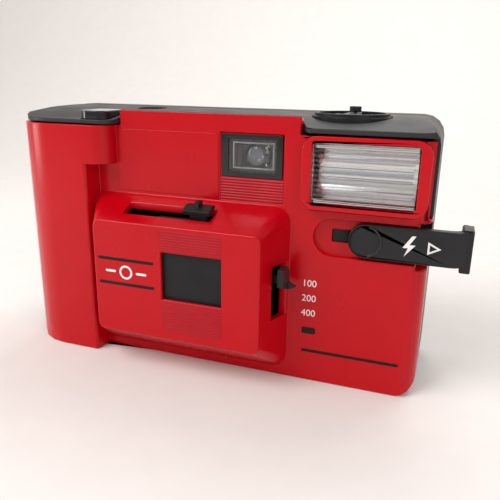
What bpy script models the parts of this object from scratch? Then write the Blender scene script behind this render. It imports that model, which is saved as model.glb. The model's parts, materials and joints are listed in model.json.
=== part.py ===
"""Flash-equipped 35 mm compact camera, modelled piece by piece.

Lengths in this file are millimetres, given as (x, d, z): x runs along the body, d is the depth
behind the plane of the front face, and z is the height above the base. place() turns them into
Blender's metres, with the origin at the middle of the base and +Y pointing to the rear.
"""
import math

import bmesh
import bpy
from mathutils import Matrix, Vector

MM = 0.001
WELD = 1e-6
GAP = 0.3

# Case
BODY_W = 126.0
BODY_D = 34.0
BODY_H = 75.5
HALF_W = BODY_W / 2
FRONT_TOP = 73.4
WALL = 2.0
COVER_BACK = 9.0
CHASSIS_FRONT = COVER_BACK + GAP
CHASSIS_BACK = 27.0
DOOR_FRONT = CHASSIS_BACK + GAP
FOOT_R = 5.5
TOP_R = 6.0
SIDE_R = 4.7
SKIRT_Z = 51.3
DECK_Z = 56.0
DECK_T = 1.2

# Hand grip and the block under the shutter button
GRIP_D = -6.0
GRIP_X = -35.3
GRIP_R = 14.6
GRIP_TOP = 71.2
BLOCK_X = -28.0
BLOCK_Z = 60.0
BLOCK_R = 5.0

# Lens housing: a frustum on the front cover
HOUSING_D = -13.0
HOUSING_BASE = (-37.0, 26.6, 2.0, 51.7)
HOUSING_FACE = (-29.0, 21.8, 12.0, 45.6)
HOUSING_WALL = 1.5
FACE_WALL = 1.2

# Lens axis and film gate
AXIS_X = 1.8
AXIS_Z = 31.2
FILM_D = 29.3
GATE_W = 36.0
GATE_H = 24.0

# Window for the lens, and the cover that slides behind it
WINDOW = (-7.4, 10.9, 24.2, 38.2)
LEVER_X = (-2.5, 5.6)
TOP_SLOT_X = (-21.4, 6.0)
TOP_SLOT_D = (-9.0, -4.0)

# Film speed lever
SPEED_TRAVEL = 8.8
SPEED_STEP = SPEED_TRAVEL / 2

# Viewfinder
FINDER = (5.5, 23.3, 58.5, 70.3)
FINDER_PANEL = (5.2, 23.7, 51.9, 70.6)

# Flash
BEZEL = (29.2, 61.6, 51.6, 71.0)
BEZEL_D = -3.0
BEZEL_R = 3.8
FLASH = (31.8, 58.8, 53.3, 69.5)
LIP_D = -2.3

# Flash switch slider, drawn as it stands when pulled out
SLIDER_Z = 44.2
SLIDER_R = 4.65
SLIDER_X = (42.2, 72.6)
TRACK_R = 5.2
TRACK_X = 37.8
TRACK_DEPTH = 1.7

# Film transport
CASSETTE = (38.4, 15.6)
CASSETTE_R = 12.6
SPOOL = (-33.2, 20.8)
SPOOL_CHAMBER_R = 11.0
SPROCKET = (-20.6, 24.4)
CHAMBER_FLOOR = 6.0
CHAMBER_LOW = 6.5
CHAMBER_HIGH = DECK_Z - 0.5
CASSETTE_TOP = 53.0
WHEEL_R = 14.6
WHEEL_Z = (62.0, 65.6)

# Knobs on the top cover
REWIND = CASSETTE
REWIND_R = 10.8
BUTTON_X = (-38.0, -29.2)
BUTTON_D = (-4.0, 8.0)
COUNTER = (-26.0, 18.6)

# Two AA cells, one behind the other in the grip end
CELL_R = 7.2
CELL_Z = (3.6, 54.1)
CELLS = ((-48.5, 3.7), (-53.3, 17.6))
HATCH = (-60.0, -40.7, -4.2, 25.2)

# Tripod bush and the screws under the base
BUSH = (22.0, 17.0)
SCREWS = ((-30.0, 17.0), (-6.0, 21.5), (47.0, 17.0))

# Door hinge
HINGE = (-61.3, 31.9)

# Colours (linear), roughness, metallic
RED = ((0.42, 0.004, 0.010), 0.30, 0.0)
GREY = ((0.090, 0.090, 0.095), 0.45, 0.0)
BLACK = ((0.012, 0.012, 0.013), 0.38, 0.0)
GLOSS_BLACK = ((0.008, 0.008, 0.009), 0.18, 0.0)
CLEAR = ((0.85, 0.90, 0.88), 0.08, 0.0)
GLASS = ((0.55, 0.62, 0.72), 0.04, 0.0)
MIRROR = ((0.80, 0.80, 0.82), 0.18, 1.0)
STEEL = ((0.55, 0.55, 0.56), 0.32, 1.0)
BRASS = ((0.60, 0.42, 0.17), 0.35, 1.0)
WHITE = ((0.80, 0.80, 0.78), 0.40, 0.0)
BOARD = ((0.25, 0.16, 0.05), 0.60, 0.0)
SLEEVE = ((0.02, 0.05, 0.20), 0.40, 0.0)


# ---------------------------------------------------------------- helpers

def place(x, d, z):
    """Model millimetres to Blender metres."""
    return Vector((x, d - BODY_D / 2, z)) * MM


def clear_scene():
    for obj in list(bpy.data.objects):
        bpy.data.objects.remove(obj, do_unlink=True)


def collection(name):
    made = bpy.data.collections.new(name)
    bpy.context.scene.collection.children.link(made)
    return made


def material(name, finish):
    colour, roughness, metallic = finish
    mat = bpy.data.materials.new(name)
    mat.use_nodes = True
    shader = mat.node_tree.nodes["Principled BSDF"]
    shader.inputs["Base Color"].default_value = (*colour, 1.0)
    shader.inputs["Roughness"].default_value = roughness
    shader.inputs["Metallic"].default_value = metallic
    mat.diffuse_color = (*colour, 1.0)
    return mat


def from_bmesh(bm, turn_faces=True):
    """A loose object holding the bmesh, welded, with its faces pointing out."""
    bmesh.ops.remove_doubles(bm, verts=bm.verts, dist=WELD)
    if turn_faces:
        bmesh.ops.recalc_face_normals(bm, faces=bm.faces)
    mesh = bpy.data.meshes.new("shape")
    bm.to_mesh(mesh)
    bm.free()
    obj = bpy.data.objects.new("shape", mesh)
    WORKSHOP.objects.link(obj)
    return obj


def baked(obj, turn_faces=True):
    """The evaluated shape of obj as a plain mesh in world space; obj is removed."""
    graph = bpy.context.evaluated_depsgraph_get()
    mesh = bpy.data.meshes.new_from_object(obj.evaluated_get(graph))
    mesh.transform(obj.matrix_world)
    bm = bmesh.new()
    bm.from_mesh(mesh)
    bpy.data.meshes.remove(mesh)
    bpy.data.objects.remove(obj, do_unlink=True)
    return from_bmesh(bm, turn_faces)


def rounded(corners, segments=4):
    """A closed outline through corners (u, v, radius), each rounded by an arc."""
    points = []
    count = len(corners)
    for i, (u, v, radius) in enumerate(corners):
        here = Vector((u, v))
        if radius <= 0:
            points.append(here)
            continue
        to_last = (Vector(corners[i - 1][:2]) - here).normalized()
        to_next = (Vector(corners[(i + 1) % count][:2]) - here).normalized()
        half = to_last.angle(to_next) / 2
        centre = here + (to_last + to_next).normalized() * (radius / math.sin(half))
        start = here + to_last * (radius / math.tan(half)) - centre
        end = here + to_next * (radius / math.tan(half)) - centre
        turn = start.angle_signed(end)
        for step in range(segments + 1):
            spoke = start.copy()
            spoke.rotate(Matrix.Rotation(-turn * step / segments, 2))
            points.append(centre + spoke)
    return points


def rect(u0, u1, v0, v1, radius=0.0, segments=4):
    corners = [(u0, v0, radius), (u1, v0, radius), (u1, v1, radius), (u0, v1, radius)]
    return rounded(corners, segments)


def arc(centre, radius, start, end, segments):
    """Points on an arc, angles in degrees from +u towards +v."""
    points = []
    for step in range(segments + 1):
        angle = math.radians(start + (end - start) * step / segments)
        points.append(Vector((centre[0] + radius * math.cos(angle), centre[1] + radius * math.sin(angle))))
    return points


def prism(outline, low, high, axis="d"):
    """A flat outline as a filled 2D curve, extruded from low to high along an axis.

    The outline's (u, v) are (x, z) for axis d, (x, d) for axis z and (d, z) for axis x.
    """
    curve = bpy.data.curves.new("outline", "CURVE")
    curve.dimensions = "2D"
    curve.fill_mode = "BOTH"
    curve.extrude = (high - low) / 2 * MM
    spline = curve.splines.new("POLY")
    spline.points.add(len(outline) - 1)
    for point, (u, v) in zip(spline.points, outline):
        point.co = (u * MM, v * MM, 0.0, 1.0)
    spline.use_cyclic_u = True
    obj = bpy.data.objects.new("outline", curve)
    WORKSHOP.objects.link(obj)
    middle = (low + high) / 2
    if axis == "d":
        turn = Matrix.Rotation(math.radians(90), 4, "X")
        obj.matrix_world = Matrix.Translation(place(0, middle, 0)) @ turn
    elif axis == "z":
        obj.matrix_world = Matrix.Translation(place(0, 0, middle))
    else:
        columns = Matrix(((0, 0, 1, 0), (1, 0, 0, 0), (0, 1, 0, 0), (0, 0, 0, 1)))
        obj.matrix_world = Matrix.Translation(place(middle, 0, 0)) @ columns
    bpy.context.view_layer.update()
    return baked(obj)


def box(x0, x1, d0, d1, z0, z1):
    bm = bmesh.new()
    bmesh.ops.create_cube(bm, size=1.0)
    size = Vector((x1 - x0, d1 - d0, z1 - z0)) * MM
    bmesh.ops.scale(bm, vec=size, verts=bm.verts)
    bmesh.ops.translate(bm, vec=place((x0 + x1) / 2, (d0 + d1) / 2, (z0 + z1) / 2), verts=bm.verts)
    return from_bmesh(bm)


def aim(axis):
    """The turn that takes +Z to the named model axis."""
    turns = {"z": Matrix.Identity(4),
             "d": Matrix.Rotation(math.radians(-90), 4, "X"),
             "x": Matrix.Rotation(math.radians(90), 4, "Y")}
    return turns[axis]


def rod(centre, radius, low, high, axis="z", segments=20, radius_end=None):
    """A cylinder or cone on an axis; centre is the other two coordinates in x, d, z order."""
    bm = bmesh.new()
    end = radius if radius_end is None else radius_end
    bmesh.ops.create_cone(bm, cap_ends=True, segments=segments, radius1=radius * MM,
                          radius2=end * MM, depth=(high - low) * MM)
    bmesh.ops.transform(bm, matrix=aim(axis), verts=bm.verts)
    middle = (low + high) / 2
    spots = {"z": (centre[0], centre[1], middle),
             "d": (centre[0], middle, centre[1]),
             "x": (middle, centre[0], centre[1])}
    bmesh.ops.translate(bm, vec=place(*spots[axis]), verts=bm.verts)
    return from_bmesh(bm)


def turned(profile, at, axis="z", steps=24):
    """A profile of (radius, height) down the outer side, turned by a Screw modifier.

    Heights run along the axis from the point at.
    """
    mesh = bpy.data.meshes.new("profile")
    points = [(radius * MM, 0.0, height * MM) for radius, height in profile]
    edges = [(i, i + 1) for i in range(len(points) - 1)]
    if profile[0][0] > 0:
        edges.append((len(points) - 1, 0))
    mesh.from_pydata(points, edges, [])
    obj = bpy.data.objects.new("profile", mesh)
    WORKSHOP.objects.link(obj)
    screw = obj.modifiers.new("turn", "SCREW")
    screw.axis = "Z"
    screw.steps = steps
    screw.render_steps = steps
    screw.use_merge_vertices = True
    screw.merge_threshold = 1e-5
    obj.matrix_world = Matrix.Translation(place(*at)) @ aim(axis)
    bpy.context.view_layer.update()
    return baked(obj)


def loft(sections):
    """A solid through sections that have the same number of (x, d, z) points."""
    bm = bmesh.new()
    rings = [[bm.verts.new(place(*point)) for point in section] for section in sections]
    for ring, after in zip(rings, rings[1:]):
        for i in range(len(ring)):
            j = (i + 1) % len(ring)
            bm.faces.new((ring[i], ring[j], after[j], after[i]))
    bm.faces.new(rings[0])
    bm.faces.new(rings[-1])
    return from_bmesh(bm)


def frustum(back, d_back, face, d_face, r_back, r_face, segments=3):
    """A loft between two upright rounded rectangles (x0, x1, z0, z1)."""
    near = [(u, d_face, v) for u, v in rect(*face, r_face, segments)]
    far = [(u, d_back, v) for u, v in rect(*back, r_back, segments)]
    return loft([near, far])


def boolean(base, others, operation):
    for other in others:
        modifier = base.modifiers.new(operation, "BOOLEAN")
        modifier.operation = operation
        modifier.object = other
    bpy.context.view_layer.update()
    result = baked(base, turn_faces=False)
    for other in others:
        bpy.data.objects.remove(other, do_unlink=True)
    return result


def union(base, *others):
    return boolean(base, others, "UNION")


def cut(base, *others):
    return boolean(base, others, "DIFFERENCE")


def meet(base, *others):
    return boolean(base, others, "INTERSECT")


def part(name, shape, finish, pivot=(0.0, BODY_D / 2, 0.0), smooth=35.0):
    """Name a shape, give it its material and put its origin on its pivot."""
    shape.name = name
    shape.data.name = name
    shift = place(*pivot)
    shape.data.transform(Matrix.Translation(-shift))
    shape.location = shift
    shape.data.materials.clear()
    shape.data.materials.append(material(name, finish))
    shape.data.shade_smooth()
    shape.data.set_sharp_from_angle(angle=math.radians(smooth))
    WORKSHOP.objects.unlink(shape)
    CAMERA.objects.link(shape)
    return shape


# ---------------------------------------------------------------- outlines of the case

def elevation(inset=0.0):
    """The case seen from the front."""
    x = HALF_W - inset
    low, high = inset, BODY_H - inset
    foot, top = FOOT_R - inset, TOP_R - inset
    return rounded([(-x, low, foot), (x, low, foot), (x, high, top), (-x, high, top)])


def plan(inset=0.0, back=COVER_BACK + 2):
    """The front of the case seen from above, a hair wider than the case; elevation() trims it."""
    x = HALF_W + 0.02 - inset
    front = inset
    return rounded([(-x, back, 0), (-x, GRIP_D + inset, GRIP_R - inset), (GRIP_X - inset, GRIP_D + inset, 1.0),
                    (GRIP_X - inset + 0.8, front, 0.3), (x, front, SIDE_R - inset), (x, back, 0)], 5)


def block_plan(inset=0.0):
    """The block under the shutter button, seen from above; its left part lies inside the grip."""
    back = COVER_BACK + 3 + inset
    front = GRIP_D + 0.01 + inset
    return rounded([(-44.0, back, 0), (-44.0, front, 0), (BLOCK_X - inset, front, BLOCK_R - inset),
                    (BLOCK_X - inset, back, 0)], 5)


# ---------------------------------------------------------------- case

def track_outline(radius):
    """The slider's channel: a round left end, open at the right."""
    return arc((TRACK_X, SLIDER_Z - 0.3), radius, 90, 270, 8) + [
        Vector((HALF_W + 2, SLIDER_Z - 0.3 - radius)), Vector((HALF_W + 2, SLIDER_Z - 0.3 + radius))]


def hatch_outline(inset=0.0):
    """The battery hatch in the base, seen from below, rounded to follow the grip."""
    x0, x1, d0, d1 = HATCH
    return rounded([(x0 + inset, d1 - inset, 2.0), (x0 + inset, d0 + inset, 12.5),
                    (x1 - inset, d0 + inset, 2.0), (x1 - inset, d1 - inset, 2.0)])


def front_cover():
    """The red front shell with the hand grip and the lens housing."""
    shell = prism(plan(), -1.0, BODY_H + 1, "z")
    shell = union(shell, prism(block_plan(), BLOCK_Z, BODY_H + 2, "z"))
    shell = meet(shell, prism(elevation(), GRIP_D - 1, COVER_BACK))
    shell = union(shell, frustum(HOUSING_BASE, 1.0, HOUSING_FACE, HOUSING_D, 4.3, 2.0))
    hollow = prism(plan(WALL, COVER_BACK + 7), -1.0, BODY_H + 2, "z")
    hollow = union(hollow, prism(block_plan(WALL), BLOCK_Z + WALL, BODY_H + 3, "z"))
    hollow = meet(hollow, prism(elevation(WALL), GRIP_D - 2, COVER_BACK + 1.5))
    x0, x1, z0, z1 = HOUSING_BASE
    wall = HOUSING_WALL + 0.5
    inner_base = (x0 + wall, x1 - wall, z0 + wall, z1 - wall)
    x0, x1, z0, z1 = HOUSING_FACE
    inner_face = (x0 + 1, x1 - 1, z0 + 1, z1 - 1)
    hollow = union(hollow, frustum(inner_base, 2.2, inner_face, HOUSING_D + FACE_WALL, 3.0, 1.2))
    shell = cut(shell, hollow)
    shoulder = rounded([(2.5, FRONT_TOP, 0), (-0.01, 70.9, 2.4), (-0.01, FRONT_TOP + 9, 0),
                        (COVER_BACK + 1, FRONT_TOP + 9, 0), (COVER_BACK + 1, 71.4, 0), (2.5, 71.4, 0)])
    shell = cut(shell, prism(shoulder, BLOCK_X + 1.5, HALF_W + 1, "x"))
    shell = cut(shell, box(-HALF_W - 1, BLOCK_X + 1.6, GRIP_D - 1, COVER_BACK + 1, GRIP_TOP, BODY_H + 1))
    shell = cut(shell, box(BEZEL[0] - 1.2, HALF_W + 1, -1, COVER_BACK + 1, 70.7, BODY_H))
    shell = cut(shell, box(60.8, HALF_W + 1, 2.2, COVER_BACK + 1, SKIRT_Z - GAP, BODY_H))
    openings = [
        prism(rect(*FINDER, 0.4), -1, WALL + 1),
        prism(rect(FINDER_PANEL[0], FINDER_PANEL[1], FINDER_PANEL[2], FINDER_PANEL[3], 0.3), -1, 0.4),
        prism(rect(FLASH[0] - 0.2, FLASH[1] + 0.2, FLASH[2] - 0.2, FLASH[3] + 0.2, 0.5), -1, WALL + 1),
        prism(rect(*WINDOW, 0.3), HOUSING_D - 1, HOUSING_D + 2),
        box(TOP_SLOT_X[0], TOP_SLOT_X[1], TOP_SLOT_D[0], TOP_SLOT_D[1], 44.0, 53.0),
        box(22.2, 30.0, -7.5, -1.0, 20.4, 36.0),
        prism(track_outline(TRACK_R), -1, TRACK_DEPTH),
        prism(rect(37.5, 58.0, 42.5, 46.1, 0.4), -1, WALL + 2),
        prism(hatch_outline(), -1, WALL + 1, "z"),
        box(60.0, HALF_W + 1, -1, COVER_BACK + 1, SLIDER_Z - 7.0, SLIDER_Z + 5.6),
    ]
    thick = box(TRACK_X - TRACK_R - 2, HALF_W - 2.5, 1.0, TRACK_DEPTH + 0.31, SLIDER_Z - 7.5, SLIDER_Z + 6.5)
    pocket = box(58.6, 61.5, 1.1, COVER_BACK - 0.1, SLIDER_Z - 8.0, SLIDER_Z + 6.3)
    shell = union(shell, thick)
    shell = union(shell, pocket)
    for opening in openings:
        shell = cut(shell, opening)
    return part("front_cover", shell, RED)


def top_plan(inset=0.0, back=CHASSIS_BACK + 2):
    """The top cover seen from above; it steps out over the grip and over the flash."""
    x = HALF_W - inset
    return rounded([(-x, back, 0), (-x, GRIP_D + 1.0 + inset, GRIP_R - inset),
                    (BLOCK_X + 0.3 - inset, GRIP_D + 1.0 + inset, 3.8),
                    (BLOCK_X + 0.9 - inset, 2.8 + inset, 0.8),
                    (27.9 + inset, 2.8 + inset, 0.6), (30.4 + inset, LIP_D + inset, 1.4),
                    (x, LIP_D + inset, 4.5), (x, back, 0)], 5)


HINGE_POST = 29.6
LATCH_SLOT = (53.0, 58.2, 24.0, 37.0)
LATCH_TRAVEL = 4.0
CAP_LOW = GRIP_TOP + GAP
CAP_TOP = [(-8, 72.7), (LIP_D, 72.8), (4.0, 73.9), (11.0, 74.9), (20.0, 75.4), (37, BODY_H)]
CAP_HOLLOW = [(-1.0, 70.0), (4.0, 72.3), (11.0, 73.2), (20.0, 73.7), (38, 73.9), (38, 70.0)]


def top_cover():
    """The grey cap with a skirt down each end and a wall at the rear."""
    cap = prism([Vector(p) for p in [(-8, CAP_LOW), *CAP_TOP, (37, CAP_LOW)]], -HALF_W - 1, HALF_W + 1, "x")
    cap = meet(cap, prism(top_plan(), 70.5, 77.0, "z"))
    cap = meet(cap, prism(elevation(), -9, CHASSIS_BACK))
    inside = prism([Vector(p) for p in CAP_HOLLOW], -HALF_W - 2, HALF_W + 2, "x")
    inside = meet(inside, prism(top_plan(1.8, CHASSIS_BACK + 4), 69.0, 78.0, "z"))
    inside = meet(inside, prism(elevation(1.8), -10, CHASSIS_BACK - 1.5))
    cap = cut(cap, inside)
    skirt = cut(prism(elevation(0.004), 2.8, CHASSIS_BACK - 0.004),
                prism(elevation(1.7), 2.0, CHASSIS_BACK + 1),
                box(-HALF_W - 1, HALF_W + 1, 2, CHASSIS_BACK + 1, -1, SKIRT_Z),
                box(-HALF_W - 1, 61.0, 1, COVER_BACK + GAP, SKIRT_Z - 1, 80),
                box(-HALF_W - 1, HALF_W + 1, 1, CHASSIS_BACK + 1, 72.4, 80))
    back_wall = box(-61.7, 61.7, CHASSIS_BACK - 1.6, CHASSIS_BACK - 0.002, DECK_Z + DECK_T + GAP, 72.3)
    rim = box(-58.8, 58.8, CHASSIS_BACK - 1.6, CHASSIS_BACK - 0.002, 72.0, 74.6)
    end_post = cut(prism(elevation(0.002), CHASSIS_BACK - 1.2, HINGE_POST),
                   prism(elevation(1.75), 20.0, 40.0),
                   box(-HALF_W - 1, HALF_W + 1, 20, 40, -1, SKIRT_Z + 0.002),
                   box(-59.3, HALF_W + 1, 20, 40, -1, 80))
    cap = union(cap, skirt)
    cap = union(cap, end_post)
    cap = union(cap, back_wall)
    cap = union(cap, rim)
    cap = union(cap, rod(REWIND, REWIND_R + 0.6, 72.0, 73.72, segments=28))
    holes = [
        prism(rect(BUTTON_X[0] - 0.4, BUTTON_X[1] + 0.4, BUTTON_D[0] - 0.4, BUTTON_D[1] + 0.4, 3.2),
              70.0, 77.0, "z"),
        rod(REWIND, REWIND_R + GAP, 73.1, 78.0, segments=28),
        rod(REWIND, 4.6, 70.0, 74.0, segments=16),
        rod(COUNTER, 4.7, 70.0, 78.0, segments=20),
        box(5.2, 23.6, 20, 30, DECK_Z + DECK_T - 1, 71.6),
        box(-28.0, -13.0, 20, 30, 50.0, 61.0),
        box(SPOOL[0] - WHEEL_R - 0.6, SPOOL[0] + WHEEL_R + 0.6, 20, 30, WHEEL_Z[0] - 0.5, WHEEL_Z[1] + 0.5),
    ]
    for hole in holes:
        cap = cut(cap, hole)
    return part("top_cover", cap, GREY)


def main_chassis():
    """The black inner body: side walls, film chambers, gate and light box."""
    lower = cut(prism(elevation(), CHASSIS_FRONT, HINGE_POST),
                prism(elevation(WALL), CHASSIS_FRONT - 1, HINGE_POST + 1),
                box(-HALF_W - 1, HALF_W + 1, 0, 40, SKIRT_Z - GAP, 80),
                box(-59.2, HALF_W + 1, CHASSIS_BACK, 40, -1, 80))
    sides = []
    for side in (-1, 1):
        sides.append(box(min(side * 59.3, side * 60.8), max(side * 59.3, side * 60.8),
                         CHASSIS_FRONT + 0.7, CHASSIS_BACK - 0.7, 45.0, DECK_Z + 0.6))
        sides.append(box(min(side * 60.0, side * 61.8), max(side * 60.0, side * 61.8),
                         CHASSIS_FRONT + 1.4, CHASSIS_BACK - 1.4, 46.0, 49.5))
    gate_wall = box(-21.5, 25.3, 26.6, 28.9, 5.3, DECK_Z + 0.6)
    rails = [box(AXIS_X - GATE_W / 2 - 1, AXIS_X + GATE_W / 2 + 1, 28.0, FILM_D, z, z + 1.6)
             for z in (AXIS_Z - GATE_H / 2 - 3.4, AXIS_Z + GATE_H / 2 + 1.8)]
    deck = box(-59.9, 59.9, CHASSIS_FRONT + 0.3, 28.0, DECK_Z, DECK_Z + DECK_T)
    deck = cut(deck, box(-61, -42.2, 26.8, 40, 50, 60), box(53, 61, 26.8, 40, 50, 60))
    floor = box(-42.4, 52.6, 7.0, 28.0, 4.8, CHAMBER_FLOOR)
    legs = [box(-38.0, 50.0, 9.6, 10.9, 1.0, 5.5)]
    knuckle = union(rod(HINGE, 1.65, 13.0, 50.0, segments=16),
                    box(-62.5, -60.8, 28.8, 31.2, 13.6, 49.4))
    cassette = rod(CASSETTE, CASSETTE_R + 0.9, 5.4, DECK_Z + 0.5, segments=28)
    spool = rod(SPOOL, SPOOL_CHAMBER_R + 1.0, 5.4, DECK_Z + 0.5, segments=24)
    x0, x1 = AXIS_X - GATE_W / 2, AXIS_X + GATE_W / 2
    z0, z1 = AXIS_Z - GATE_H / 2, AXIS_Z + GATE_H / 2
    outer = frustum((x0 - 1.2, x1 + 1.2, z0 - 1.2, z1 + 1.2), 27.0,
                    (AXIS_X - 7, AXIS_X + 7, AXIS_Z - 6, AXIS_Z + 6), -1.0, 0.6, 0.6, 1)
    body = lower
    for shape in (*sides, deck, floor, *legs, gate_wall, *rails, cassette, spool, outer, knuckle):
        body = union(body, shape)
    cuts = [
        rod(CASSETTE, CASSETTE_R, CHAMBER_LOW, CASSETTE_TOP, segments=28),
        box(CASSETTE[0] - CASSETTE_R, CASSETTE[0] + CASSETTE_R, CASSETTE[1], 34, CHAMBER_LOW, CASSETTE_TOP),
        box(24.0, 52.6, 0.0, 5.3, 54.3, 60.0),
        rod(SPOOL, SPOOL_CHAMBER_R, CHAMBER_LOW, CHAMBER_HIGH, segments=24),
        box(SPOOL[0] - SPOOL_CHAMBER_R, SPOOL[0] + SPOOL_CHAMBER_R, SPOOL[1] + 2, 34,
            CHAMBER_LOW, CHAMBER_HIGH),
        frustum((x0, x1, z0, z1), 30.0, (AXIS_X - 5, AXIS_X + 5, AXIS_Z - 4, AXIS_Z + 4), -2.0, 0.4, 0.4, 1),
        rod(SPROCKET, 4.6, CHAMBER_LOW, CHAMBER_HIGH, segments=16),
        box(SPROCKET[0] - 4.6, SPROCKET[0] + 3.0, SPROCKET[1] + 0.5, 34, CHAMBER_LOW, CHAMBER_HIGH),
        rod(REWIND, 3.4, 50.0, 60.0, segments=16),
        rod(SPOOL, 3.0, 50.0, 60.0, segments=16),
        rod(SPROCKET, 2.0, 50.0, 60.0, segments=12),
        prism(hatch_outline(), -1, WALL + 1, "z"),
        box(-50.0, 62.0, 31.5, 40, 4.0, 60.0),
        rod(CASSETTE, 3.4, 4.0, 7.0, segments=16),
        rod(CELLS[1], CELL_R + GAP, 3.0, CELL_Z[1] + 1.3, segments=24),
        rod(HINGE, 1.1, 10.0, 55.0, segments=12),
        rod(BUSH, 5.3, -1.0, 4.5, segments=20),
        *[rod(spot, 2.6, -1.0, 1.2, segments=14) for spot in SCREWS],
        *[rod(spot, 1.4, 0.5, 3.5, segments=12) for spot in SCREWS],
    ]
    for shape in cuts:
        body = cut(body, shape)
    return part("main_chassis", body, BLACK)


def film_door():
    """The black rear door; it carries the top strip and wraps the rear edges."""
    door = cut(prism(elevation(), DOOR_FRONT, BODY_D),
               prism(elevation(WALL), DOOR_FRONT - 1, BODY_D - 1.8),
               box(-HALF_W - 1, -59.0, 20, 40, -1, 80))
    for low, high in ((5.0, 12.7), (50.3, 68.0)):
        door = union(door, rod(HINGE, 1.65, low, high, segments=16))
        door = union(door, box(-61.0, -58.5, 32.3, 33.5, low + 0.1, high - 0.1))
    openings = [
        rod(HINGE, 1.1, -1.0, 80.0, segments=12),
        prism(rect(9.6, 19.2, 60.8, 68.0, 1.0), 30, 36),
        box(SPOOL[0] - 9.9, SPOOL[0] + 9.9, 30, 36, WHEEL_Z[0] - 0.6, WHEEL_Z[1] + 0.6),
        prism(rect(*LATCH_SLOT, 0.8), 30, 36),
    ]
    for shape in openings:
        door = cut(door, shape)
    part("film_door", door, BLACK, pivot=(*HINGE, 0))
    part("hinge_pin", rod(HINGE, 0.8, 4.0, 68.6, segments=12), STEEL, pivot=(*HINGE, 0))
    x0, x1, z0, z1 = LATCH_SLOT
    knob = prism(rect(x0 + 0.3, x1 - 0.3, z0 + LATCH_TRAVEL + 0.3, z1 - 0.3, 0.6), 31.4, 34.6)
    plate = box(x0 - 0.8, x1 + 0.8, 30.5, 31.8, z0 + LATCH_TRAVEL - 0.6, z1 + 0.8)
    part("door_latch", union(knob, plate), BLACK, pivot=(x0, BODY_D, z1))


def base_fittings():
    """The tripod bush and the screws under the base."""
    bush = cut(rod(BUSH, 5.0, 0.05, 4.3, segments=20), rod(BUSH, 3.175, -1.0, 3.5, segments=20))
    part("tripod_bush", bush, BRASS)
    for i, spot in enumerate(SCREWS):
        screw = union(rod(spot, 2.3, 0.1, 0.9, segments=14), rod(spot, 1.05, 0.8, 4.2, segments=12))
        screw = cut(screw, box(spot[0] - 1.6, spot[0] + 1.6, spot[1] - 0.25, spot[1] + 0.25, -1, 0.45))
        part(f"base_screw_{i + 1}", screw, STEEL, pivot=(*spot, 0))


# ---------------------------------------------------------------- lens and shutter

def lens_cover():
    """The black plate behind the lens window, its arm and its lever in the top slot."""
    plate = prism(rect(WINDOW[0] - 0.4, WINDOW[1] + 0.3, WINDOW[2] - 1.4, WINDOW[3] + 1.4, 0.8), -11.5, -10.5)
    arm = box(-1.0, 4.2, -11.2, -10.5, WINDOW[3] + 1.0, 43.2)
    bend = box(-1.0, 4.2, -11.2, -6.2, 42.6, 43.5)
    neck = box(-1.0, 4.2, -7.2, -6.2, 42.8, 49.6)
    lever = prism([Vector(p) for p in [(-8.4, 48.4), (-8.9, 49.7), (-6.2, 51.0), (-4.6, 51.0), (-4.2, 50.4)]],
                  LEVER_X[0], LEVER_X[1], "x")
    fin = box(0.9, 2.1, -7.9, -5.0, 50.2, 52.3)
    cover = union(plate, arm)
    cover = union(cover, bend)
    cover = union(cover, neck)
    cover = union(cover, lever)
    cover = union(cover, fin)
    return part("lens_cover", cover, BLACK)


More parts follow.
